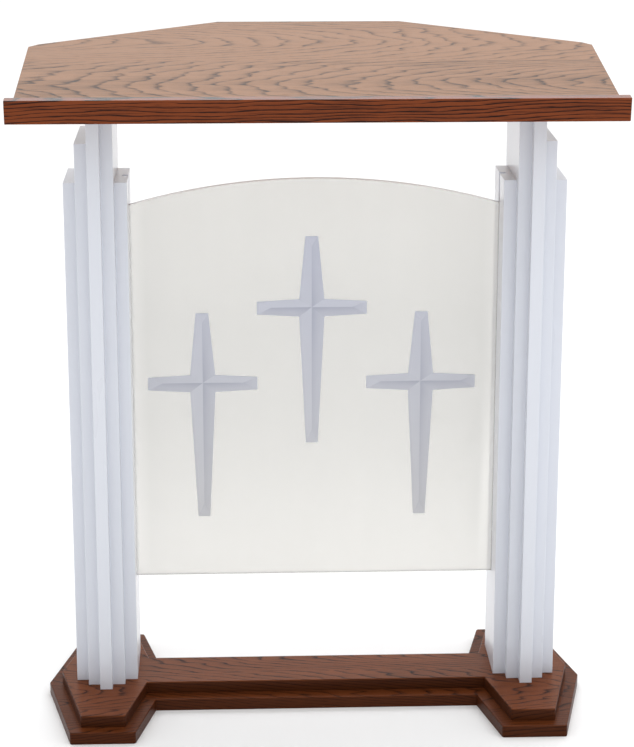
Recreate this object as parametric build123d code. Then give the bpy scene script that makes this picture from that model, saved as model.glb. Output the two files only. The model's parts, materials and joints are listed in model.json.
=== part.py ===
from build123d import *
from math import cos, hypot, isclose, radians, tan
import os

# Lectern stand, in millimetres. X runs across it, +Y points away from the speaker, +Z is up.
# It is laid out about the middle of the base, and moved at the end so that its origin is on the
# floor, under the middle of the whole lectern.

# Base: two H-shaped boards, the upper one stepped in from the edge of the lower one
tier_thickness = 20.5
foot_spacing = 728.0        # between the middles of the two feet
foot_length = 426.0         # front to back
foot_end_width = 109.0      # flat front and back edges
foot_middle_width = 208.0   # corner to corner
beam_width = 164.0          # crossbar between the feet
foot_reveal = 22.0          # step from the lower board's edge to the upper one's
beam_reveal = 28.0
foot_corner_radius = 5.0
tier_arris_radius = 2.5

# Columns: five boards glued face to face, deepest and tallest in the middle
column_board_thickness = 21.0
centre_board_depth = 214.0
board_depth_step = 42.0     # each board is this much shallower than its inner neighbour
column_setback = 26.0       # columns' middle behind the feet's middle
mid_board_drop = 51.0       # from the ledge's bottom to the boards' tops
low_board_drop = 120.0
board_arris_radius = 0.8

# Desk and book ledge, sloping up away from the speaker
desk_slope = 8.0
ledge_front = -172.0        # ledge's lower front edge, from the feet's middle
ledge_bottom_height = 1043.0
ledge_length = 990.0
ledge_height = 39.0
ledge_thickness = 18.0
ledge_arris_radius = 1.5
desk_width = 968.0
desk_thickness = 26.0
desk_length = 492.0         # up the slope, behind the ledge
desk_side_length = 334.0    # straight sides, behind the ledge
desk_corner_clip = 16.0
desk_back_width = 322.0
desk_top_radius = 5.0
desk_bottom_radius = 1.5

# Panel: acrylic sheet in grooves in the columns' inner boards
panel_thickness = 12.0
panel_bottom_gap = 171.0    # above the base
panel_side_drop = 50.0      # panel's corners below the low boards' tops
panel_arc_rise = 43.5
panel_groove_depth = 10.0
panel_face_clearance = 0.4
panel_end_clearance = 0.6

# Crosses: V-carved into the panel's face on the speaker's side
cross_spacing = 187.0
cross_offset = -5.0         # middle cross from the panel's middle
middle_cross_rise = 128.75   # crossing points above the middle of the panel
side_cross_rise = -3.75
cross_depth = 4.0           # at the crossing point
cross_shaft_width = 43.5    # at the crossing
cross_arm_height = 31.0     # at the crossing
cross_top_rise = 125.0
cross_top_width = 22.0
cross_foot_drop = 241.0
cross_foot_width = 21.0
cross_arm_reach = 94.0
cross_arm_end_height = 23.0
cross_top_hip = 18.0         # lengths of the sloping facets at the ends
cross_foot_hip = 24.0
cross_arm_hip = 25.0

# Fasteners and dowels
hole_clearance = 0.05
tier_screw_recess = 6.0
tier_screw_cover = 7.0      # wood left above the screw's tip
tier_screw_foot_spread = 60.0
tier_screw_end_margin = 48.0
tier_screw_beam_spacing = 280.0
screw_radius = 2.1
screw_head_radius = 4.2
screw_head_height = 2.6
bolt_spacing = 140.0
bolt_radius = 4.0
bolt_engagement = 18.0      # length in the insert
bolt_head_radius = 6.5
bolt_head_height = 8.0
bolt_head_recess = 1.0
bolt_socket_width = 6.0
bolt_socket_depth = 4.0
washer_radius = 8.0
washer_bore_radius = 4.3
washer_thickness = 1.6
bolt_pocket_radius = 9.0
insert_radius = 6.0
insert_length = 20.0
insert_flange_thickness = 1.5
insert_flange_radius = 7.5
dowel_radius = 4.0
dowel_length = 35.0
dowel_end_chamfer = 0.8
dowel_end_gap = 1.0
column_dowel_depth = 12.0   # share of the dowel that is in the base
ledge_dowel_depth = 10.0    # share of the dowel that is in the ledge
ledge_dowel_count = 6
ledge_dowel_margin = 60.0

# Cleats that hold the desk to the tall boards
cleat_width = 20.0
cleat_height = 22.0
cleat_length = 150.0
cleat_arris_radius = 1.0
side_screw_bite = 12.0      # length in the column board
side_screw_spacing = 90.0
top_screw_bite = 16.0       # length in the desk
top_screw_spacing = 60.0

# Worked out from the sizes above
foot_centre = foot_spacing / 2
base_top = 2 * tier_thickness
column_inner_face = foot_centre - 2.5 * column_board_thickness
mid_board_top = ledge_bottom_height - mid_board_drop
low_board_top = ledge_bottom_height - low_board_drop
panel_bottom_height = base_top + panel_bottom_gap
panel_side_height = low_board_top - panel_side_drop
panel_crown_height = panel_side_height + panel_arc_rise
panel_middle_height = (panel_bottom_height + panel_crown_height) / 2
tier_screw_length = base_top - tier_screw_recess - tier_screw_cover
bolt_length = base_top - bolt_head_recess - bolt_head_height + bolt_engagement
side_screw_length = cleat_width + side_screw_bite
top_screw_length = cleat_height + top_screw_bite
desk_place = Location((0, ledge_front, ledge_bottom_height), (desk_slope, 0, 0))
column_up_slope = (column_setback - ledge_front) / cos(radians(desk_slope))


def under_desk(y):
    return ledge_bottom_height + (y - ledge_front) * tan(radians(desk_slope))


# Hardware. Each screw, bolt and dowel starts at its own origin and points along +Z.

def screw(length, clearance=0.0):
    head = Cone(
        screw_head_radius + clearance,
        screw_radius + clearance,
        screw_head_height,
        align=(Align.CENTER, Align.CENTER, Align.MIN),
    )
    return head + upright_cylinder(screw_radius + clearance, length)


def upright_cylinder(radius, length):
    return Cylinder(radius, length, align=(Align.CENTER, Align.CENTER, Align.MIN))


def socket_bolt():
    bolt = upright_cylinder(bolt_head_radius, bolt_head_height)
    bolt += Pos(0, 0, bolt_head_height) * upright_cylinder(bolt_radius, bolt_length)
    socket = extrude(RegularPolygon(bolt_socket_width / 2, 6, major_radius=False), bolt_socket_depth)
    return bolt - socket


def washer():
    return upright_cylinder(washer_radius, washer_thickness) - upright_cylinder(
        washer_bore_radius, washer_thickness
    )


def threaded_insert():
    sleeve = upright_cylinder(insert_radius, insert_length)
    sleeve += upright_cylinder(insert_flange_radius, insert_flange_thickness)
    return sleeve - upright_cylinder(bolt_radius + hole_clearance, insert_length)


def insert_hole():
    hole = upright_cylinder(insert_radius + hole_clearance, insert_length + dowel_end_gap)
    return hole + upright_cylinder(insert_flange_radius + hole_clearance, insert_flange_thickness)


def dowel():
    rod = upright_cylinder(dowel_radius, dowel_length)
    return chamfer(rod.edges().filter_by(GeomType.CIRCLE), dowel_end_chamfer)


def dowel_hole():
    length = dowel_length + 2 * dowel_end_gap
    return Pos(0, 0, -dowel_end_gap) * upright_cylinder(dowel_radius + hole_clearance, length)


def group(shape, places):
    return Compound([place * shape.solid() for place in places])


def drill(piece, hole, places):
    for place in places:
        piece = piece - place * hole
    return piece


# Places of the hardware

def tier_screw_places():
    places = []
    end = foot_length / 2 - tier_screw_end_margin
    for side in (-1, 1):
        for y in (-end, end):
            for spread in (-tier_screw_foot_spread / 2, tier_screw_foot_spread / 2):
                places.append(Pos(side * foot_centre + spread, y, tier_screw_recess))
        places.append(Pos(side * tier_screw_beam_spacing / 2, 0, tier_screw_recess))
    return places


def bolt_places(height):
    places = []
    for side in (-1, 1):
        for step in (-bolt_spacing / 2, bolt_spacing / 2):
            places.append(Pos(side * foot_centre, column_setback + step, height))
    return places


def column_dowel_places():
    places = []
    for side in (-1, 1):
        for place in (-1, 1):
            x = side * (foot_centre + place * column_board_thickness)
            places.append(Pos(x, column_setback, base_top - column_dowel_depth))
    return places


def ledge_dowel_places():
    reach = desk_width / 2 - ledge_dowel_margin
    pitch = 2 * reach / (ledge_dowel_count - 1)
    start = ledge_thickness - ledge_dowel_depth
    along_slope = (-90, 0, 0)
    return [
        desk_place * Location((number * pitch - reach, start, desk_thickness / 2), along_slope)
        for number in range(ledge_dowel_count)
    ]


def cleat_face(side, outer):
    board = 0.5 if outer else -1.5
    return side * (foot_centre + board * column_board_thickness)


def cleat_direction(side, outer):
    return side if outer else -side


def cleat_kinds():
    return [(side, outer) for side in (-1, 1) for outer in (False, True)]


def side_screw_places():
    places = []
    for side, outer in cleat_kinds():
        away = cleat_direction(side, outer)
        x = cleat_face(side, outer) + away * cleat_width
        for step in (-side_screw_spacing / 2, side_screw_spacing / 2):
            place = Location((x, column_up_slope + step, -cleat_height / 2), (0, -90 * away, 0))
            places.append(desk_place * place)
    return places


def top_screw_places():
    places = []
    for side, outer in cleat_kinds():
        x = cleat_face(side, outer) + cleat_direction(side, outer) * cleat_width / 2
        for step in (-top_screw_spacing, 0, top_screw_spacing):
            places.append(desk_place * Pos(x, column_up_slope + step, -cleat_height))
    return places


# Base boards

def foot_outline(inset):
    half = foot_length / 2
    end = foot_end_width / 2
    middle = foot_middle_width / 2
    corners = [(end, -half), (middle, 0), (end, half), (-end, half), (-middle, 0), (-end, -half)]
    outline = Polygon(*corners, align=None)
    if inset:
        outline = offset(outline, -inset, kind=Kind.INTERSECTION)
    return outline


def base_board(inset, beam_inset, bottom):
    beam_half = beam_width / 2 - beam_inset
    outline = Rectangle(foot_spacing, 2 * beam_half)
    for side in (-1, 1):
        outline += Pos(side * foot_centre, 0) * foot_outline(inset)
    corners = [v for v in outline.vertices() if not isclose(abs(v.Y), beam_half, abs_tol=0.01)]
    outline = fillet(corners, foot_corner_radius)
    board = extrude(outline, tier_thickness)
    board = fillet(board.faces().sort_by(Axis.Z)[-1].edges(), tier_arris_radius)
    return Pos(0, 0, bottom) * board


def base_lower_board():
    board = base_board(0, 0, 0)
    recess = Pos(0, 0, -tier_screw_recess) * upright_cylinder(
        screw_head_radius + hole_clearance, tier_screw_recess
    )
    board = drill(board, recess, tier_screw_places())
    board = drill(board, screw(tier_screw_length, hole_clearance), tier_screw_places())
    pocket_depth = bolt_head_recess + bolt_head_height + washer_thickness
    board = drill(board, upright_cylinder(bolt_pocket_radius, pocket_depth), bolt_places(0))
    return drill(board, upright_cylinder(washer_bore_radius, tier_thickness), bolt_places(0))


def base_upper_board():
    board = base_board(foot_reveal, beam_reveal, tier_thickness)
    board = drill(board, screw(tier_screw_length, hole_clearance), tier_screw_places())
    board = drill(board, upright_cylinder(washer_bore_radius, base_top), bolt_places(0))
    return drill(board, dowel_hole(), column_dowel_places())


# Columns. A board's place counts outwards from the middle board of its column.

def column_board(side, place, top=None):
    depth = centre_board_depth - abs(place) * board_depth_step
    front = column_setback - depth / 2
    back = column_setback + depth / 2
    front_top = under_desk(front) if top is None else top
    back_top = under_desk(back) if top is None else top
    profile = Plane.YZ * Polygon(
        (front, base_top), (back, base_top), (back, back_top), (front, front_top), align=None
    )
    board = extrude(profile, column_board_thickness / 2, both=True)
    uprights = board.edges().filter_by(Axis.Z)
    exposed = [edge for edge in uprights if edge.center().X * side * place >= 0]
    board = fillet(exposed, board_arris_radius)
    return Pos(side * (foot_centre + place * column_board_thickness), 0, 0) * board


def drilled_mid_board(side, place, top=None):
    board = column_board(side, place, top)
    board = drill(board, dowel_hole(), column_dowel_places())
    return drill(board, screw(side_screw_length, hole_clearance), side_screw_places())


def centre_board(side):
    board = column_board(side, 0)
    board = drill(board, insert_hole(), bolt_places(base_top))
    return drill(board, screw(side_screw_length, hole_clearance), side_screw_places())


def grooved_board(side):
    board = column_board(side, -2, low_board_top)
    groove = Box(
        2 * panel_groove_depth,
        panel_thickness + 2 * panel_face_clearance,
        low_board_top - panel_bottom_height,
        align=(Align.CENTER, Align.CENTER, Align.MIN),
    )
    return board - Pos(side * column_inner_face, column_setback, panel_bottom_height) * groove


# Panel and its crosses

def cross_limb(turn, root, root_half, end_half, reach, hip):
    # Facets of one limb, which runs along +Z before the turn about Y
    root_left = Vector(-root_half, 0, root)
    root_right = Vector(root_half, 0, root)
    end_left = Vector(-end_half, 0, reach)
    end_right = Vector(end_half, 0, reach)
    slant = Vector(end_half - root_half, 0, reach - root)

    def off_edge(z):
        return abs((0 - root_half) * slant.Z - (z - root) * slant.X) / hypot(slant.X, slant.Z)

    middle = Vector(0, cross_depth, 0)
    ridge_depth = cross_depth * off_edge(reach - hip) / off_edge(0)
    ridge_end = Vector(0, ridge_depth, reach - hip)
    facets = [
        (root_left, end_left, ridge_end, middle),
        (root_right, end_right, ridge_end, middle),
        (end_left, end_right, ridge_end),
        (root_left, end_left, end_right, root_right),
    ]
    return [Face(Wire.make_polygon([p.rotate(Axis.Y, turn) for p in facet])) for facet in facets]


def cross_cutter():
    shaft_half = cross_shaft_width / 2
    arm_half = cross_arm_height / 2
    faces = []
    faces += cross_limb(0, arm_half, shaft_half, cross_top_width / 2, cross_top_rise, cross_top_hip)
    faces += cross_limb(
        180, arm_half, shaft_half, cross_foot_width / 2, cross_foot_drop, cross_foot_hip
    )
    for turn in (90, 270):
        faces += cross_limb(
            turn, shaft_half, arm_half, cross_arm_end_height / 2, cross_arm_reach, cross_arm_hip
        )
    faces.append(Face(Plane.XZ * Rectangle(cross_shaft_width, cross_arm_height).wire()))
    return Solid(Shell(faces))


def cross_panel():
    half_width = column_inner_face + panel_groove_depth - panel_end_clearance
    radius = (column_inner_face**2 + panel_arc_rise**2) / (2 * panel_arc_rise)
    arc_centre = panel_crown_height - radius
    edge_height = arc_centre + (radius**2 - half_width**2) ** 0.5
    arc = ThreePointArc((half_width, edge_height), (0, panel_crown_height), (-half_width, edge_height))
    sides = Polyline(
        (-half_width, edge_height),
        (-half_width, panel_bottom_height),
        (half_width, panel_bottom_height),
        (half_width, edge_height),
    )
    outline = Plane.XZ * make_face([arc, sides])
    panel = extrude(outline, panel_thickness / 2, both=True)
    cutter = cross_cutter()
    face = -panel_thickness / 2
    for step, rise in ((0, middle_cross_rise), (-1, side_cross_rise), (1, side_cross_rise)):
        x = cross_offset + step * cross_spacing
        panel -= Pos(x, face, panel_middle_height + rise) * cutter
    return Pos(0, column_setback, 0) * panel


# Desk

def desk_board():
    half = desk_width / 2
    front = ledge_thickness
    side_end = ledge_thickness + desk_side_length
    back = ledge_thickness + desk_length
    right = [
        (half, front),
        (half, side_end),
        (half - desk_corner_clip, side_end + desk_corner_clip),
        (desk_back_width / 2, back),
    ]
    left = [(-x, y) for x, y in reversed(right)]
    board = extrude(Polygon(*right, *left, align=None), desk_thickness)
    rounded = [
        (board.faces().sort_by(Axis.Z)[-1], desk_top_radius),
        (board.faces().sort_by(Axis.Z)[0], desk_bottom_radius),
    ]
    for face, radius in rounded:
        edges = [edge for edge in face.edges() if edge.center().Y > front + radius]
        board = fillet(edges, radius)
    board = desk_place * board
    board = drill(board, dowel_hole(), ledge_dowel_places())
    return drill(board, screw(top_screw_length, hole_clearance), top_screw_places())


def book_ledge():
    ledge = Box(
        ledge_length, ledge_thickness, ledge_height, align=(Align.CENTER, Align.MIN, Align.MIN)
    )
    ledge = desk_place * fillet(ledge.edges(), ledge_arris_radius)
    return drill(ledge, dowel_hole(), ledge_dowel_places())


def desk_cleat(side, outer):
    cleat = Box(
        cleat_width, cleat_length, cleat_height, align=(Align.CENTER, Align.CENTER, Align.MAX)
    )
    away = cleat_direction(side, outer)
    free = [edge for edge in cleat.faces().sort_by(Axis.Z)[0].edges() if edge.center().X * away >= 0]
    cleat = fillet(free, cleat_arris_radius)
    x = cleat_face(side, outer) + away * cleat_width / 2
    cleat = desk_place * Pos(x, column_up_slope, 0) * cleat
    cleat = drill(cleat, screw(side_screw_length, hole_clearance), side_screw_places())
    return drill(cleat, screw(top_screw_length, hole_clearance), top_screw_places())


def lectern_parts():
    parts = {
        "base_lower_board": base_lower_board(),
        "base_upper_board": base_upper_board(),
        "base_tier_screws": group(screw(tier_screw_length), tier_screw_places()),
        "column_bolts": group(socket_bolt(), bolt_places(bolt_head_recess)),
        "column_bolt_washers": group(washer(), bolt_places(bolt_head_recess + bolt_head_height)),
        "column_threaded_inserts": group(threaded_insert(), bolt_places(base_top)),
        "column_dowels": group(dowel(), column_dowel_places()),
        "cross_panel": cross_panel(),
        "desk_board": desk_board(),
        "book_ledge": book_ledge(),
        "ledge_dowels": group(dowel(), ledge_dowel_places()),
        "cleat_side_screws": group(screw(side_screw_length), side_screw_places()),
        "cleat_top_screws": group(screw(top_screw_length), top_screw_places()),
    }
    for name, side in (("left", -1), ("right", 1)):
        parts[f"{name}_column_outer_low"] = column_board(side, 2, low_board_top)
        parts[f"{name}_column_outer_mid"] = drilled_mid_board(side, 1, mid_board_top)
        parts[f"{name}_column_centre"] = centre_board(side)
        parts[f"{name}_column_inner_tall"] = drilled_mid_board(side, -1)
        parts[f"{name}_column_inner_low"] = grooved_board(side)
        parts[f"{name}_inner_cleat"] = desk_cleat(side, False)
        parts[f"{name}_outer_cleat"] = desk_cleat(side, True)
    return parts


def export_parts():
    parts = lectern_parts()
    boxes = [shape.bounding_box() for shape in parts.values()]
    middle = (min(box.min.Y for box in boxes) + max(box.max.Y for box in boxes)) / 2
    os.makedirs("parts", exist_ok=True)
    for name, shape in parts.items():
        export_step(Pos(0, -middle, 0) * shape, f"parts/{name}.step")


export_parts()
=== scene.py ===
import json
from math import atan2, cos, degrees, pi, radians, sin

import bmesh
import bpy
from mathutils import Matrix, Vector


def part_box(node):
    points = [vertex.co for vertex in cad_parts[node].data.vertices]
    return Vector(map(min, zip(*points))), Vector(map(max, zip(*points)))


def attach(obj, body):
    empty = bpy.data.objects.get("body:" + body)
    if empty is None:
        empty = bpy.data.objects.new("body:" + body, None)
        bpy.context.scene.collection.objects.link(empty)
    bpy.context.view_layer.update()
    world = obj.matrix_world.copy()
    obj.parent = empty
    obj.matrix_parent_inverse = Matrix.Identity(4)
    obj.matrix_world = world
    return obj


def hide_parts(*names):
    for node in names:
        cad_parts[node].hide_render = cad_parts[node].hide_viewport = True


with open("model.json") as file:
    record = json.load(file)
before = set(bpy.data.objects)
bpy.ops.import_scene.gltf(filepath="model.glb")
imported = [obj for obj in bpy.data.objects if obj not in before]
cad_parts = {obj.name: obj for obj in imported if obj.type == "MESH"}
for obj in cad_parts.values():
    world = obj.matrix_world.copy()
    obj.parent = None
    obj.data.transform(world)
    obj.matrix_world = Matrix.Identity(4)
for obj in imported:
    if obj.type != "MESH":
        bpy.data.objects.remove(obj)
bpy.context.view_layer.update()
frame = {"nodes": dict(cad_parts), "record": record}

nodes = frame["nodes"]
record = frame["record"]
mounts = {mount["name"]: mount for mount in record["mounts"]}
slotOf = {part["node"]: part["material_slot"] for part in record["subparts"]}


# Shader arithmetic: a Field is a socket that can be added, multiplied and compared
class Field:
    def __init__(self, shader, socket):
        self.shader = shader
        self.socket = socket

    def maths(self, operation, *values, clamp=False):
        settings = {"operation": operation, "use_clamp": clamp}
        return self.shader.field("ShaderNodeMath", settings, dict(enumerate(values)))

    def __add__(self, other):
        return self.maths("ADD", self, other)

    def __radd__(self, other):
        return self.maths("ADD", other, self)

    def __sub__(self, other):
        return self.maths("SUBTRACT", self, other)

    def __rsub__(self, other):
        return self.maths("SUBTRACT", other, self)

    def __mul__(self, other):
        return self.maths("MULTIPLY", self, other)

    def __rmul__(self, other):
        return self.maths("MULTIPLY", other, self)

    def __truediv__(self, other):
        return self.maths("DIVIDE", self, other)

    def __gt__(self, other):
        return self.maths("GREATER_THAN", self, other)

    def __lt__(self, other):
        return self.maths("LESS_THAN", self, other)

    def floor(self):
        return self.maths("FLOOR", self)

    def fract(self):
        return self.maths("FRACT", self)

    def root(self):
        return self.maths("SQRT", self)

    def modulo(self, other):
        return self.maths("FLOORED_MODULO", self, other)

    def clamped(self):
        return self.maths("ADD", self, 0.0, clamp=True)


class Graph:
    def __init__(self, tree):
        self.tree = tree

    # the one way a node is made: its settings first, then what goes into its sockets
    def node(self, kind, settings=None, values=None):
        made = self.tree.nodes.new(kind)
        for name, value in (settings or {}).items():
            if name == "stops":
                self.setStops(made.color_ramp, value)
            else:
                setattr(made, name, value)
        for name, value in (values or {}).items():
            if isinstance(value, (list, Field)):
                for field in value if isinstance(value, list) else [value]:
                    self.tree.links.new(field.socket, made.inputs[name])
            else:
                made.inputs[name].default_value = value
        return made

    def field(self, kind, settings=None, values=None, output=0):
        return Field(self, self.node(kind, settings, values).outputs[output])

    def setStops(self, ramp, stops):
        while len(ramp.elements) > 1:
            ramp.elements.remove(ramp.elements[-1])
        ramp.elements[0].position = stops[0][0]
        ramp.elements[0].color = grey(stops[0][1])
        for position, level in stops[1:]:
            ramp.elements.new(position).color = grey(level)


class Shader(Graph):
    def __init__(self, name, kind="materials"):
        self.owner = getattr(bpy.data, kind).new(name)
        self.owner.use_nodes = True
        super().__init__(self.owner.node_tree)
        self.tree.nodes.clear()

    def place(self, output="Object"):
        return self.field("ShaderNodeTexCoord", output=output)

    def mapped(self, vector, settings, **values):
        return self.field("ShaderNodeMapping", settings, {"Vector": vector, **values})

    def split(self, vector):
        made = self.node("ShaderNodeSeparateXYZ", values={0: vector})
        return [Field(self, socket) for socket in made.outputs]

    def join(self, x, y, z):
        return self.field("ShaderNodeCombineXYZ", values={0: x, 1: y, 2: z})

    def noise(self, vector, scale, detail, roughness):
        values = {"Vector": vector, "Scale": scale, "Detail": detail, "Roughness": roughness}
        return self.field("ShaderNodeTexNoise", {"noise_dimensions": "3D"}, values)

    # noise drawn out by a different scale on each axis, centred on 0
    def streaks(self, vector, scales, detail, roughness):
        stretched = self.mapped(vector, {"vector_type": "POINT"}, Scale=scales)
        return self.noise(stretched, 1.0, detail, roughness) - 0.5

    def ramp(self, factor, stops):
        return self.field("ShaderNodeValToRGB", {"stops": stops}, {"Fac": factor})

    # sockets 6, 7 and output 2 are the mix node's colours
    def mixed(self, factor, first, second):
        values = {0: factor, 6: first, 7: second}
        return self.field("ShaderNodeMix", {"data_type": "RGBA"}, values, output=2)

    def bump(self, height, strength, distance):
        values = {"Height": height, "Strength": strength, "Distance": distance}
        return self.field("ShaderNodeBump", values=values)

    def principled(self, **values):
        named = {name.replace("_", " "): value for name, value in values.items()}
        return self.field("ShaderNodeBsdfPrincipled", values=named)

    def mixShaders(self, factor, first, second):
        return self.field("ShaderNodeMixShader", values={0: factor, 1: first, 2: second})

    def finish(self, surface):
        kind = "World" if isinstance(self.owner, bpy.types.World) else "Material"
        self.node(f"ShaderNodeOutput{kind}", values={"Surface": surface})
        return self.owner


def grey(level):
    return (level, level, level, 1.0)


def colour(red, green, blue):
    return (red, green, blue, 1.0)


# Stained oak. Growth rings round a heart line that runs along X and leans, so that flat-sawn faces
# show arches and narrow faces show long stripes; short dark pores lie in the early wood. The coat
# is stronger on faces that look up, and openGrain is how far the dark grain weakens it.
baseOak = {
    "origin": (0.0, 0.0, 0.0), "slope": 0.0, "seed": 3.0,
    "staveWidth": 0.150, "staveShift": 0.5,
    "heartDepth": 0.085, "lean": 0.13, "ringWidth": 0.0058, "drift": 2.2, "wander": 0.55,
    "light": (0.172, 0.047, 0.0130), "dark": (0.014, 0.0038, 0.002),
    "band": 0.95, "dash": 0.48, "fibre": 0.55, "frontTone": 0.0,
    # Painted shade: upright faces are darkened towards edgeColour by paintedEdgeShade
    "paintedEdgeShade": 0.68, "edgeColour": (0.018, 0.0050, 0.0030),
    "roughness": 0.34, "specular": 0.06, "poreDepth": 0.00016,
    "coat": 0.02, "topCoat": 0.09, "coatRoughness": 0.12, "openGrain": 0.55,
}
# Painted shade: the lower board's oak is a darker copy of the base oak, so that its step tops and
# fronts look shaded under the upper board
lowerOak = {
    **baseOak,
    "seed": 5.0, "light": (0.118, 0.031, 0.0088), "paintedEdgeShade": 0.48, "topCoat": 0.06,
}
deskOak = {
    **baseOak,
    "seed": 11.0, "staveWidth": 0.246, "staveShift": 0.0,
    "heartDepth": 0.120, "lean": 0.17, "ringWidth": 0.0092, "drift": 1.9, "wander": 0.50,
    "light": (0.245, 0.100, 0.0285), "dark": (0.026, 0.012, 0.007),
    "band": 0.82, "dash": 0.7, "fibre": 1.0, "frontTone": 0.08, "paintedEdgeShade": 0.0,
    "coat": 0.10, "topCoat": 0.56, "coatRoughness": 0.22,
}
ledgeOak = {
    **deskOak,
    "seed": 23.0, "staveWidth": 0.5, "staveShift": 0.5,
    "heartDepth": 0.26, "lean": 0.020, "ringWidth": 0.0058, "drift": 1.6, "wander": 1.0,
    "light": (0.188, 0.041, 0.0094), "dark": (0.011, 0.0022, 0.0015),
    "band": 1.9, "dash": 1.9, "fibre": 1.5, "frontTone": 0.0,
    "specular": 0.12, "coat": 0.02, "topCoat": 0.80, "openGrain": 0.0,
}
cleatOak = {
    **ledgeOak,
    "seed": 31.0, "heartDepth": 0.2, "lean": 0.03, "light": (0.24, 0.075, 0.025),
}

# What all the oak shares: each pattern's scales along, across and through the board, its detail and
# its roughness, then how much of each pattern goes into the figure
oakPatterns = {
    "drift": ((2.2, 11.0, 11.0), 3.0, 0.55),
    "wander": ((9.0, 60.0, 60.0), 3.0, 0.6),
    "pores": ((45.0, 1300.0, 1300.0), 2.0, 0.6),
    "fibre": ((14.0, 420.0, 420.0), 3.0, 0.65),
    "cloud": ((3.0, 16.0, 16.0), 3.0, 0.6),
    "dash": ((6.0, 110.0, 110.0), 3.0, 0.65),
}
oakFigure = {
    "staveStep": 3.7, "heartChance": 0.5, "heartDrift": 0.030,
    "earlyWood": [
        (0.0, 0.4), (0.04, 1.0), (0.12, 0.72), (0.24, 0.22), (0.6, 0.05), (0.94, 0.0), (1.0, 0.4),
    ],
    "poreLevel": 0.02, "latePores": 0.09, "poreSharpness": 14.0,
    "lineLevel": 0.82, "lineFibre": 1.1, "lineDash": 1.2,
    "poreTone": 0.24, "earlyPoreTone": 0.3, "cloudTone": 0.7, "staveTone": 0.1,
    "poreRoughness": 0.18, "cloudRoughness": 0.12,
    "poreRelief": 0.8, "earlyRelief": 0.2, "bump": 0.6, "upwardFrom": 0.8,
}


def makeOak(name, oak):
    figure = oakFigure
    shader = Shader(name)
    placed = shader.mapped(
        shader.place(), {"vector_type": "TEXTURE"},
        Location=oak["origin"], Rotation=(oak["slope"], 0.0, 0.0),
    )
    along, across, through = shader.split(placed)
    stave = (across / oak["staveWidth"] + oak["staveShift"]).floor()
    chance = shader.field(
        "ShaderNodeTexWhiteNoise", {"noise_dimensions": "1D"}, {"W": stave + oak["seed"]}
    )
    side = across - (stave + 0.5 - oak["staveShift"]) * oak["staveWidth"]
    turn = stave.modulo(2.0) * 2.0 - 1.0
    shift = stave * figure["staveStep"] + oak["seed"]
    own = shader.join(along + shift, across, through)
    drift = shader.streaks(own, *oakPatterns["drift"])
    wander = shader.streaks(own, *oakPatterns["wander"])
    pores = shader.streaks(own, *oakPatterns["pores"])
    fibre = shader.streaks(own, *oakPatterns["fibre"])
    cloud = shader.streaks(own, *oakPatterns["cloud"])
    dash = shader.streaks(own, *oakPatterns["dash"])

    leaning = turn * oak["lean"] * (along + (chance - 0.5) * figure["heartChance"])
    depth = through + (oak["heartDepth"] + leaning + drift * figure["heartDrift"])
    radius = (side * side + depth * depth).root()
    ring = radius / oak["ringWidth"] + drift * oak["drift"] + wander * oak["wander"]
    early = shader.ramp(ring.fract(), figure["earlyWood"])
    kept = pores - figure["poreLevel"] - (1.0 - early) * figure["latePores"]
    pore = (kept * figure["poreSharpness"]).clamped()

    broken = figure["lineLevel"] + fibre * figure["lineFibre"] + dash * figure["lineDash"]
    lines = early * oak["band"] * broken
    specks = pore * (figure["poreTone"] + early * figure["earlyPoreTone"])
    tone = cloud * figure["cloudTone"] + dash * oak["dash"]
    tone = tone + (chance - 0.5) * figure["staveTone"] - turn * oak["frontTone"]
    dark = (lines + specks + fibre * oak["fibre"] + tone).clamped()
    wood = shader.mixed(dark, colour(*oak["light"]), colour(*oak["dark"]))
    facing = shader.split(shader.place("Normal"))[2]
    # Painted shade: the more a face stands upright, the more it is darkened towards edgeColour
    if oak["paintedEdgeShade"]:
        shade = (1.0 - facing * facing).clamped() * oak["paintedEdgeShade"]
        wood = shader.mixed(shade, wood, colour(*oak["edgeColour"]))

    upward = facing > figure["upwardFrom"]
    coat = oak["coat"] + upward * (oak["topCoat"] - oak["coat"])
    relief = 1.0 - (pore * figure["poreRelief"] + early * figure["earlyRelief"])
    roughening = pore * figure["poreRoughness"] + cloud * figure["cloudRoughness"]
    surface = shader.principled(
        Base_Color=wood,
        Roughness=oak["roughness"] + roughening,
        Specular_IOR_Level=oak["specular"],
        Coat_Weight=coat * (1.0 - dark * oak["openGrain"]),
        Coat_Roughness=oak["coatRoughness"],
        Normal=shader.bump(relief, figure["bump"], oak["poreDepth"]),
    )
    return shader.finish(surface)


# White lacquered boards, with faint clouds, specks and a ripple along the board
lacquer = {
    "colour": (0.71, 0.735, 0.80), "worn": (0.62, 0.625, 0.66),
    "wornLevel": 0.12, "wornCloud": 0.55, "speckLevel": 0.22, "wornSpeck": 1.6,
    "roughness": 0.30, "cloudRoughness": 0.16,
    "ripple": (160.0, 2.0, 0.5), "grainShare": 0.7, "bump": 0.35, "rippleDepth": 0.00012,
    "coat": 0.35, "coatRoughness": 0.10,
}
lacquerPatterns = {
    "cloud": ((9.0, 9.0, 2.0), 4.0, 0.6),
    "speck": ((420.0, 420.0, 420.0), 2.0, 0.7),
    "grain": ((240.0, 240.0, 5.0), 2.0, 0.5),
}


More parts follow.
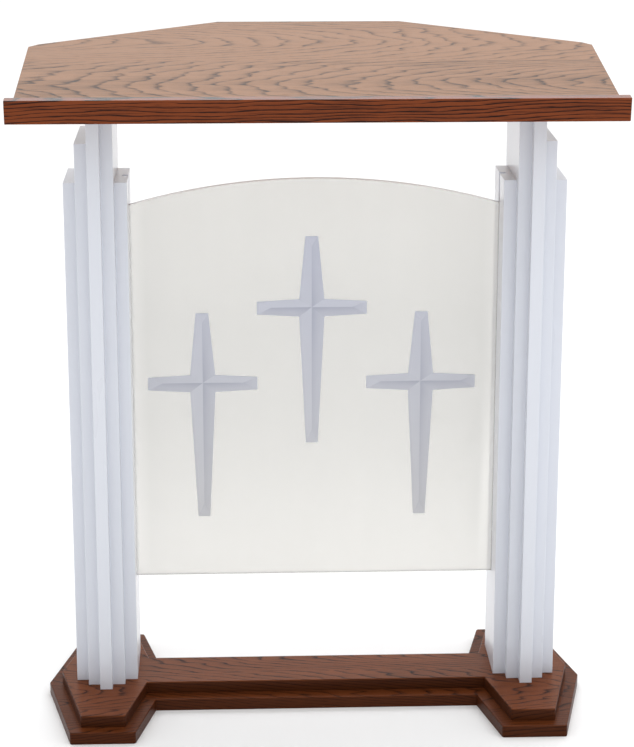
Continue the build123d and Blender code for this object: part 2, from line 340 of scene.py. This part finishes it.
def makeLacquer(name):
    shader = Shader(name)
    place = shader.place()
    cloud = shader.streaks(place, *lacquerPatterns["cloud"])
    speck = shader.streaks(place, *lacquerPatterns["speck"])
    grain = shader.streaks(place, *lacquerPatterns["grain"])
    specks = (speck - lacquer["speckLevel"]) * lacquer["wornSpeck"]
    worn = (lacquer["wornLevel"] + cloud * lacquer["wornCloud"] + specks).clamped()
    ripple = shader.noise(place, *lacquer["ripple"]) + grain * lacquer["grainShare"]
    surface = shader.principled(
        Base_Color=shader.mixed(worn, colour(*lacquer["colour"]), colour(*lacquer["worn"])),
        Roughness=lacquer["roughness"] + cloud * lacquer["cloudRoughness"],
        Coat_Weight=lacquer["coat"],
        Coat_Roughness=lacquer["coatRoughness"],
        Normal=shader.bump(ripple, lacquer["bump"], lacquer["rippleDepth"]),
    )
    return shader.finish(surface)


# Acrylic panel: clear with a share of milk, milky on its edges, frosted in the carved crosses. Its
# tint holds the sheet's own grey plus painted light and shade: it goes from the top of the sheet to
# the bottom, darkest in the middle, and is painted lighter towards the columns.
acrylic = {
    "clear": (0.990, 0.975, 0.936), "clearRoughness": 0.10, "smearRoughness": 0.05, "ior": 1.49,
    # painted light and shade down the sheet, darkest in the middle and lightest at the bottom; its
    # overall level is the sheet's own grey
    "tintWithPaintedLight": [
        (0.0, 0.885), (0.15, 0.83), (0.35, 0.735), (0.6, 0.735),
        (0.74, 0.80), (0.88, 0.89), (1.0, 0.97),
    ],
    # painted light near the columns, stronger low on the right
    "sideWidth": 0.035, "paintedSideLight": 0.2, "paintedLowRightLight": 0.45, "lowFrom": 0.5, "lowRise": 3.0,
    "edgeBelow": 0.25, "smear": ((6.0, 6.0, 1.2), 3.0, 0.6),
}

# The milk's tone between its two colours is a level, plus the smears, the edges and the sides
milk = {
    "colour": (0.81, 0.81, 0.795), "edgeColour": (0.98, 0.98, 0.965), "share": 0.3,
    "level": 0.25, "smear": 0.5, "side": 0.5, "roughness": 0.22, "smearRoughness": 0.1,
}

# Painted light and shade on the carved facets: those that look up or left are painted lit and darken
# towards the bottom of the groove, and those that look down or right are painted dark only near its
# rim. The lit and shaded colours both change from the top of the sheet to the bottom.
carving = {
    "litFacet": (0.545, 0.572, 0.690), "shadedFacet": (0.425, 0.455, 0.580),
    "lowLitFacet": (0.565, 0.565, 0.575), "lowShadedFacet": (0.420, 0.422, 0.450),
    "skin": 0.00004, "deepest": 0.006, "margin": 0.03, "shadeDepth": 0.004,
    "upLeftShade": 0.18, "upLeftDeepening": 1.1, "downRightShade": 0.55, "downRightFading": 3.4,
    "roughness": 0.40, "smearRoughness": 0.2, "transmission": 0.15,
    "grit": (900.0, 2.0, 0.6), "bump": 0.25, "gritDepth": 0.00006,
}


def makeAcrylic(name):
    shader = Shader(name)
    low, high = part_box("cross_panel")
    place = shader.place()
    across, through, up = shader.split(place)
    rightward, outward, upward = shader.split(shader.place("Normal"))
    edge = outward * outward < acrylic["edgeBelow"]
    smear = shader.streaks(place, *acrylic["smear"])
    lowness = ((high.z - up) / (high.z - low.z)).clamped()

    fromMiddle = (across * across).root()
    sideward = ((fromMiddle - high.x + acrylic["sideWidth"]) / acrylic["sideWidth"]).clamped()
    # Painted light: the sheet is lightened near the columns, and more so low on the right
    lowRight = (across > 0.0) * ((lowness - acrylic["lowFrom"]) * acrylic["lowRise"]).clamped()
    paintedSideLight = acrylic["paintedSideLight"] + lowRight * acrylic["paintedLowRightLight"]
    tintWithPaintedLight = (shader.ramp(lowness, acrylic["tintWithPaintedLight"]) + sideward * paintedSideLight).clamped()
    clear = shader.principled(
        Base_Color=shader.mixed(tintWithPaintedLight, grey(0.0), colour(*acrylic["clear"])),
        Roughness=(acrylic["clearRoughness"] + smear * acrylic["smearRoughness"]).clamped(),
        IOR=acrylic["ior"],
        Transmission_Weight=1.0,
    )
    # Painted light: milk's side share lightens the milk near the columns; the milky edges themselves
    # are the sheet's own
    milkTone = (milk["level"] + smear * milk["smear"] + edge + sideward * milk["side"]).clamped()
    milky = shader.principled(
        Base_Color=shader.mixed(milkTone, colour(*milk["colour"]), colour(*milk["edgeColour"])),
        Roughness=(milk["roughness"] + smear * milk["smearRoughness"]).clamped(),
        IOR=acrylic["ior"],
    )
    sheet = shader.mixShaders((milk["share"] + edge).clamped(), clear, milky)

    margin = carving["margin"]
    sunk = (through > low.y + carving["skin"]) * (through < low.y + carving["deepest"])
    inside = (across > low.x + margin) * (across < high.x - margin)
    within = (up > low.z + margin) * (up < high.z - 2 * margin)
    depth = ((through - low.y) / carving["shadeDepth"]).clamped()
    # Painted light and shade: a facet's colour is set by which way it looks and how deep it lies
    upLeft = (upward - rightward) > 0.0
    upLeftShade = carving["upLeftShade"] + depth * depth * carving["upLeftDeepening"]
    downRightShade = (carving["downRightShade"] - depth * carving["downRightFading"]).clamped()
    shade = (upLeft * upLeftShade + (1.0 - upLeft) * downRightShade).clamped()
    lit = shader.mixed(lowness, colour(*carving["litFacet"]), colour(*carving["lowLitFacet"]))
    shaded = shader.mixed(
        lowness, colour(*carving["shadedFacet"]), colour(*carving["lowShadedFacet"])
    )
    grit = shader.noise(place, *carving["grit"])
    frosted = shader.principled(
        Base_Color=shader.mixed(shade, lit, shaded),
        Roughness=carving["roughness"] + smear * carving["smearRoughness"],
        IOR=acrylic["ior"],
        Transmission_Weight=carving["transmission"],
        Normal=shader.bump(grit, carving["bump"], carving["gritDepth"]),
    )
    return shader.finish(shader.mixShaders(sunk * inside * within, sheet, frosted))


# Metal and beech hardware
zinc = {"colour": (0.62, 0.63, 0.64), "dull": (0.42, 0.43, 0.45), "roughness": 0.30}
brass = {"colour": (0.78, 0.58, 0.27), "dull": (0.50, 0.36, 0.16), "roughness": 0.28}
metalWork = {
    "cloud": (120.0, 4.0, 0.6), "cloudRoughness": 0.2,
    "turned": (1500.0, 2.0, 0.5), "bump": 0.2, "turnedDepth": 0.00005,
}
beech = {
    "light": (0.70, 0.50, 0.31), "dark": (0.50, 0.31, 0.17),
    "darkLevel": 0.35, "fleckTone": 0.9, "ringTone": 0.6,
    "roughness": 0.6, "fleckRoughness": 0.15, "bump": 0.3, "fleckDepth": 0.0001,
}
beechPatterns = {
    "fleck": ((500.0, 500.0, 90.0), 3.0, 0.6),
    "rings": ((120.0, 120.0, 20.0), 2.0, 0.5),
}


def makeMetal(name, metal):
    shader = Shader(name)
    place = shader.place()
    cloud = shader.noise(place, *metalWork["cloud"])
    turned = shader.noise(place, *metalWork["turned"])
    surface = shader.principled(
        Base_Color=shader.mixed(cloud, colour(*metal["colour"]), colour(*metal["dull"])),
        Metallic=1.0,
        Roughness=metal["roughness"] + cloud * metalWork["cloudRoughness"],
        Normal=shader.bump(turned, metalWork["bump"], metalWork["turnedDepth"]),
    )
    return shader.finish(surface)


def makeBeech(name):
    shader = Shader(name)
    place = shader.place()
    fleck = shader.streaks(place, *beechPatterns["fleck"])
    rings = shader.streaks(place, *beechPatterns["rings"])
    dark = (beech["darkLevel"] + fleck * beech["fleckTone"] + rings * beech["ringTone"]).clamped()
    surface = shader.principled(
        Base_Color=shader.mixed(dark, colour(*beech["light"]), colour(*beech["dark"])),
        Roughness=beech["roughness"] + fleck * beech["fleckRoughness"],
        Normal=shader.bump(fleck, beech["bump"], beech["fleckDepth"]),
    )
    return shader.finish(surface)


# The desk's own plane, from the reading surface that the record gives
deskAxis = Vector(mounts["reading_surface"]["axis"])
deskSlope = atan2(-deskAxis.y, deskAxis.z)
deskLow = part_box("desk_board")[0]
for oak in (deskOak, ledgeOak, cleatOak):
    oak["origin"] = (0.0, deskLow.y, deskLow.z)
    oak["slope"] = deskSlope
print(f"desk slopes {degrees(deskSlope):.1f} degrees")

finishes = {
    "base_oak": makeOak("baseOak", baseOak),
    "desk_oak": makeOak("deskOak", deskOak),
    "cleat_oak": makeOak("cleatOak", cleatOak),
    "white_lacquer": makeLacquer("whiteLacquer"),
    "clear_acrylic": makeAcrylic("clearAcrylic"),
    "zinc_steel": makeMetal("zincSteel", zinc),
    "insert_brass": makeMetal("insertBrass", brass),
    "beech": makeBeech("beech"),
}
ownFinishes = {
    "book_ledge": makeOak("ledgeOak", ledgeOak),
    "base_lower_board": makeOak("lowerOak", lowerOak),
}

for nodeName, node in nodes.items():
    node.data.materials.clear()
    node.data.materials.append(ownFinishes.get(nodeName, finishes[slotOf[nodeName]]))
print(f"finished {len(nodes)} pieces")


# Screws and bolts: turned in one piece with a real thread, then set where the frame has them
screw = {
    "headHeight": 0.0026, "headEnd": "neck", "pitch": 0.0017, "threadDepth": 0.00055,
    "tip": 0.0045, "recess": "cross", "recessWidth": 0.0042, "recessDepth": 0.0016,
}
bolt = {
    "headHeight": 0.008, "headEnd": "square", "pitch": 0.00125, "threadDepth": 0.00068,
    "tip": 0.0012, "recess": "hexagon", "recessWidth": 0.006, "recessDepth": 0.004,
}
fasteners = {
    "base_tier_screws": {**screw, "piece": "tierScrews", "seed": 3},
    "cleat_side_screws": {**screw, "piece": "cleatSideScrews", "seed": 5},
    "cleat_top_screws": {**screw, "piece": "cleatTopScrews", "seed": 7},
    "column_bolts": {**bolt, "piece": "columnBolts", "seed": 9},
}

# hexagonReach is the corner radius of a hexagon that is 1 wide across its flats
turning = {
    "segments": 16, "rowsPerPitch": 4, "rim": 0.0004, "plainPitches": 2,
    "bluntTip": 0.12, "ridgePower": 0.8, "crossArm": 0.24, "hexagonReach": 0.57735,
}
measuring = {"weld": 1e-6, "endSlabs": (0.0016, 0.0006, 0.0003, 0.0002), "decimals": 4}


# The corners of each loose solid of a node
def looseSolids(nodeName):
    mesh = bmesh.new()
    mesh.from_mesh(nodes[nodeName].data)
    bmesh.ops.remove_doubles(mesh, verts=mesh.verts, dist=measuring["weld"])
    waiting = set(mesh.verts)
    solids = []
    while waiting:
        reached = [waiting.pop()]
        solid = []
        while reached:
            vertex = reached.pop()
            solid.append(vertex.co.copy())
            beside = {edge.other_vert(vertex) for edge in vertex.link_edges} & waiting
            waiting -= beside
            reached.extend(beside)
        solids.append(solid)
    mesh.free()
    return solids


# Start, direction and sizes of a fastener, head first
def measureFastener(corners):
    far = max(corners, key=lambda corner: (corner - corners[0]).length)
    near = max(corners, key=lambda corner: (corner - far).length)
    along = (near - far).normalized()
    # the first guess runs from rim to rim, so it is straightened by the middles of the two ends
    for slab in measuring["endSlabs"]:
        reach = [(corner - far).dot(along) for corner in corners]
        low, high = min(reach), max(reach)
        ends = [
            [corner for corner, place in zip(corners, reach) if place < low + slab],
            [corner for corner, place in zip(corners, reach) if place > high - slab],
        ]
        centres = [sum(end, Vector()) / len(end) for end in ends]
        along = (centres[1] - centres[0]).normalized()
    radii = [max((corner - centre).length for corner in end) for end, centre in zip(ends, centres)]
    if radii[0] < radii[1]:
        centres.reverse()
        radii.reverse()
        along = -along
    length = (centres[1] - centres[0]).length
    return {
        "start": centres[0], "along": along, "length": length,
        "headRadius": radii[0], "radius": radii[1],
    }


# Closed rings of the head, then rows of a helical thread, then the tip
def turnFastener(name, spec, size):
    segments = turning["segments"]
    core = size["radius"] - spec["threadDepth"]
    headRadius = size["headRadius"]
    headFoot = core if spec["headEnd"] == "neck" else headRadius
    rings = [(0.0, headRadius - turning["rim"], 0.0), (turning["rim"], headRadius, 0.0)]
    rings.append((spec["headHeight"], headFoot, 0.0))
    if headFoot > core:
        rings.append((spec["headHeight"], core, 0.0))
    step = spec["pitch"] / turning["rowsPerPitch"]
    threadStart = spec["headHeight"] + turning["plainPitches"] * spec["pitch"]
    rows = int((size["length"] - threadStart) / step)
    for row in range(rows + 1):
        height = threadStart + row * step
        taper = min(1.0, (size["length"] - height) / spec["tip"] + turning["bluntTip"])
        growth = min(1.0, row / turning["rowsPerPitch"])
        rings.append((height, core * taper, spec["threadDepth"] * taper * growth))
    mesh = bmesh.new()
    loops = []
    for height, radius, thread in rings:
        loop = []
        for number in range(segments):
            turn = number / segments
            phase = (height / spec["pitch"] - turn) % 1.0
            ridge = thread * (1.0 - abs(2.0 * phase - 1.0)) ** turning["ridgePower"]
            angle = 2 * pi * turn
            reach = radius + ridge
            loop.append(mesh.verts.new((reach * cos(angle), reach * sin(angle), height)))
        loops.append(loop)
    for lower, upper in zip(loops, loops[1:]):
        for number in range(segments):
            after = (number + 1) % segments
            mesh.faces.new((lower[number], lower[after], upper[after], upper[number]))
    mesh.faces.new(list(reversed(loops[0])))
    mesh.faces.new(loops[-1])
    bmesh.ops.recalc_face_normals(mesh, faces=mesh.faces)
    data = bpy.data.meshes.new(name)
    mesh.to_mesh(data)
    mesh.free()
    fastener = bpy.data.objects.new(name, data)
    bpy.context.scene.collection.objects.link(fastener)
    return fastener


# Geometry nodes: cut the driver's recess, set a copy on each point along its own direction, with
# the recess turned at random, and give them the metal
def makeSettingTree(recess):
    tree = bpy.data.node_groups.new(f"set{recess.title()}Fasteners", "GeometryNodeTree")
    graph = Graph(tree)
    sockets = [
        ("Places", "Geometry"), ("Fastener", "Object"), ("Recess Width", "Float"),
        ("Recess Depth", "Float"), ("Seed", "Int"), ("Finish", "Material"),
    ]
    for socketName, kind in sockets:
        tree.interface.new_socket(socketName, in_out="INPUT", socket_type=f"NodeSocket{kind}")
    tree.interface.new_socket("Fasteners", in_out="OUTPUT", socket_type="NodeSocketGeometry")
    given = graph.node("NodeGroupInput")
    entry = {socketName: Field(graph, given.outputs[socketName]) for socketName, kind in sockets}
    info = graph.node("GeometryNodeObjectInfo", values={"Object": entry["Fastener"]})
    blank = Field(graph, info.outputs["Geometry"])
    width, height = entry["Recess Width"], entry["Recess Depth"] * 2.0
    if recess == "hexagon":
        values = {"Vertices": 6, "Radius": width * turning["hexagonReach"], "Depth": height}
        tools = [graph.field("GeometryNodeMeshCylinder", values=values)]
    else:
        arm = width * turning["crossArm"]
        tools = []
        for x, y in ((width, arm), (arm, width)):
            size = graph.field("ShaderNodeCombineXYZ", values={0: x, 1: y, 2: height})
            tools.append(graph.field("GeometryNodeMeshCube", values={"Size": size}))
        joined = {"operation": "UNION", "solver": "EXACT"}
        tools = [graph.field("GeometryNodeMeshBoolean", joined, {"Mesh 2": tools})]
    cut = graph.field(
        "GeometryNodeMeshBoolean", {"operation": "DIFFERENCE", "solver": "EXACT"},
        {"Mesh 1": blank, "Mesh 2": tools},
    )
    along = graph.field(
        "GeometryNodeInputNamedAttribute", {"data_type": "FLOAT_VECTOR"}, {"Name": "along"}
    )
    upright = graph.field("FunctionNodeAlignRotationToVector", {"axis": "Z"}, {"Vector": along})
    angle = graph.field(
        "FunctionNodeRandomValue", {"data_type": "FLOAT"},
        {2: 0.0, 3: 2 * pi, "Seed": entry["Seed"]}, output=1,
    )
    spin = graph.field(
        "FunctionNodeAxisAngleToRotation", values={"Axis": (0.0, 0.0, 1.0), "Angle": angle}
    )
    turned = graph.field(
        "FunctionNodeRotateRotation", {"rotation_space": "LOCAL"},
        {"Rotation": upright, "Rotate By": spin},
    )
    copies = graph.field(
        "GeometryNodeInstanceOnPoints",
        values={"Points": entry["Places"], "Instance": cut, "Rotation": turned},
    )
    real = graph.field("GeometryNodeRealizeInstances", values={"Geometry": copies})
    metal = graph.field(
        "GeometryNodeSetMaterial", values={"Geometry": real, "Material": entry["Finish"]}
    )
    graph.node("NodeGroupOutput", values={"Fasteners": metal})
    return tree


def setFasteners(nodeName, spec, tree):
    sizes = [measureFastener(corners) for corners in looseSolids(nodeName)]
    sizes.sort(key=lambda size: [round(value, measuring["decimals"]) for value in size["start"]])
    blank = turnFastener(f"{spec['piece']}Blank", spec, sizes[0])
    places = bpy.data.meshes.new(f"{spec['piece']}Places")
    places.from_pydata([size["start"] for size in sizes], [], [])
    along = places.attributes.new("along", "FLOAT_VECTOR", "POINT")
    along.data.foreach_set("vector", [value for size in sizes for value in size["along"]])
    holder = bpy.data.objects.new(f"{spec['piece']}Holder", places)
    bpy.context.scene.collection.objects.link(holder)
    modifier = holder.modifiers.new("setting", "NODES")
    modifier.node_group = tree
    values = {
        "Fastener": blank, "Recess Width": spec["recessWidth"], "Recess Depth": spec["recessDepth"],
        "Seed": spec["seed"], "Finish": finishes[slotOf[nodeName]],
    }
    for item in tree.interface.items_tree:
        if item.name in values:
            modifier[item.identifier] = values[item.name]
    bpy.context.view_layer.update()
    evaluated = holder.evaluated_get(bpy.context.evaluated_depsgraph_get())
    shape = bpy.data.meshes.new_from_object(evaluated)
    shape.materials.clear()
    shape.materials.append(finishes[slotOf[nodeName]])
    shape.polygons.foreach_set("material_index", [0] * len(shape.polygons))
    bpy.data.objects.remove(holder)
    bpy.data.objects.remove(blank)
    piece = bpy.data.objects.new(spec["piece"], shape)
    bpy.context.scene.collection.objects.link(piece)
    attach(piece, "root")
    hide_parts(nodeName)
    print(f"{spec['piece']}: {len(sizes)} set, {len(shape.polygons)} faces")


settingTrees = {recess: makeSettingTree(recess) for recess in ("cross", "hexagon")}
for nodeName, spec in fasteners.items():
    setFasteners(nodeName, spec, settingTrees[spec["recess"]])


# Studio: pale floor, surroundings brighter behind than in front, a broad sun from behind and above,
# and soft lights overhead and from the right
studio = {
    "floorSize": 60.0, "floorColour": (0.95, 0.95, 0.95), "floorStain": (0.85, 0.85, 0.85),
    "stain": (2.0, 2.0, 0.5), "stainShare": 0.02, "floorRoughness": 0.9, "floorSpecular": 0.1,
    "sky": 1.08, "leftShare": 0.92, "frontShare": 0.68,
}
softLights = {
    "rightSoftbox": {"place": (3.2, -2.0, 2.8), "aim": (0.0, 0.0, 0.6), "size": 1.6, "power": 18.0},
    "overheadSoftbox": {"place": (0.3, -0.2, 3.6), "aim": (0.0, 0.0, 0.0), "size": 2.6, "power": 32.0},
}
daylight = {"lean": -34.0, "turn": 0.0, "spread": 50.0, "strength": 1.0}


def layFloor():
    half = studio["floorSize"] / 2
    corners = [(-half, -half, 0.0), (half, -half, 0.0), (half, half, 0.0), (-half, half, 0.0)]
    mesh = bpy.data.meshes.new("paleFloor")
    mesh.from_pydata(corners, [], [(0, 1, 2, 3)])
    floor = bpy.data.objects.new("paleFloor", mesh)
    bpy.context.scene.collection.objects.link(floor)
    shader = Shader("floorPaint")
    stain = shader.noise(shader.place(), *studio["stain"]) * studio["stainShare"]
    pale, stained = colour(*studio["floorColour"]), colour(*studio["floorStain"])
    surface = shader.principled(
        Base_Color=shader.mixed(stain, pale, stained),
        Roughness=studio["floorRoughness"],
        Specular_IOR_Level=studio["floorSpecular"],
    )
    mesh.materials.append(shader.finish(surface))


def lightSky():
    shader = Shader("studioSky", "worlds")
    rightward, backward = shader.split(shader.place("Generated"))[:2]
    right, behind = rightward * 0.5 + 0.5, backward * 0.5 + 0.5
    sideways = studio["leftShare"] + right * (1.0 - studio["leftShare"])
    lengthways = studio["frontShare"] + behind * (1.0 - studio["frontShare"])
    level = sideways * lengthways * studio["sky"]
    sky = shader.field("ShaderNodeBackground", values={"Color": grey(1.0), "Strength": level})
    bpy.context.scene.world = shader.finish(sky)


def hangSun():
    data = bpy.data.lights.new("daylight", "SUN")
    data.energy = daylight["strength"]
    data.angle = radians(daylight["spread"])
    sun = bpy.data.objects.new("daylight", data)
    bpy.context.scene.collection.objects.link(sun)
    sun.rotation_euler = (radians(daylight["lean"]), 0.0, radians(daylight["turn"]))


def hangLight(name, light):
    data = bpy.data.lights.new(name, "AREA")
    data.energy = light["power"]
    data.size = light["size"]
    lamp = bpy.data.objects.new(name, data)
    bpy.context.scene.collection.objects.link(lamp)
    lamp.location = light["place"]
    away = Vector(light["place"]) - Vector(light["aim"])
    lamp.rotation_euler = away.to_track_quat("Z", "Y").to_euler()


# Camera in front of the speaker's side, a little left and above
cameraView = {
    "place": (-0.1377, -3.7547, 1.6504),
    "lookDown": 15.58, "turn": -2.45, "roll": 0.10,
    "lens": 108.70, "sensor": 36.0, "shiftX": -0.0136, "shiftY": -0.0281, "farClip": 200.0,
}


def setCamera():
    data = bpy.data.cameras.new("camera")
    data.lens = cameraView["lens"]
    data.sensor_width = cameraView["sensor"]
    data.shift_x = cameraView["shiftX"]
    data.shift_y = cameraView["shiftY"]
    data.clip_end = cameraView["farClip"]
    camera = bpy.data.objects.new("camera", data)
    bpy.context.scene.collection.objects.link(camera)
    turn = Matrix.Rotation(radians(cameraView["turn"]), 4, "Z")
    tilt = Matrix.Rotation(radians(90.0 - cameraView["lookDown"]), 4, "X")
    roll = Matrix.Rotation(radians(cameraView["roll"]), 4, "Z")
    camera.matrix_world = Matrix.Translation(cameraView["place"]) @ turn @ tilt @ roll
    bpy.context.scene.camera = camera


layFloor()
lightSky()
hangSun()
for lightName, light in softLights.items():
    hangLight(lightName, light)
setCamera()
bpy.context.scene.view_settings.view_transform = "Standard"
print("studio and camera are set")
